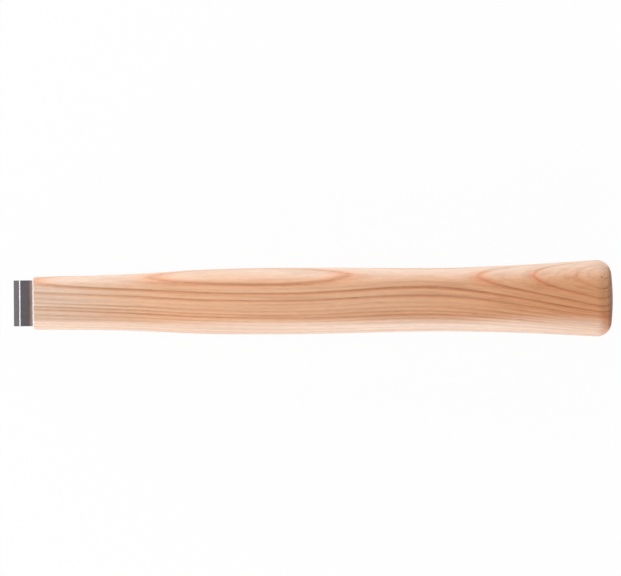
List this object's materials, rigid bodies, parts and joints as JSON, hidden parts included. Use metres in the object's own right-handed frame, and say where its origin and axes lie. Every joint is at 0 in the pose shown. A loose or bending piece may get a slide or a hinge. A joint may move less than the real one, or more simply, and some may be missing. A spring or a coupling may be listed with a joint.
{
  "type": "hammer handle",
  "caption": "Oval ash hammer handle with a waisted grip, flared round butt and a sawn tongue holding a barbed steel wedge that drives in or pulls out.",
  "frame": {"origin": "centre of the overall box in plan, on the plane that touches the lowest point of the butt", "axes": "+X along the handle from the head end to the butt, +Y along the long way of its oval, +Z along the short way, out of a broad side"},
  "size_m": [0.269, 0.0342, 0.0278],
  "materials": {
    "ash_wood": "sanded ash, lightly oiled, with brown growth rings",
    "dark_steel": "dark mill-scaled steel, bright on the cut sides of the barbs"
  },
  "bodies": {
    "handle": {"handle": "ash_wood"},
    "wedge": {"steel_wedge": "dark_steel"}
  },
  "joints": [
    {"name": "wedge_slide", "type": "slide", "parent": "handle", "child": "wedge", "axis": [-1, 0, 0], "range_m": [-0.009, 0.0176]}
  ]
}
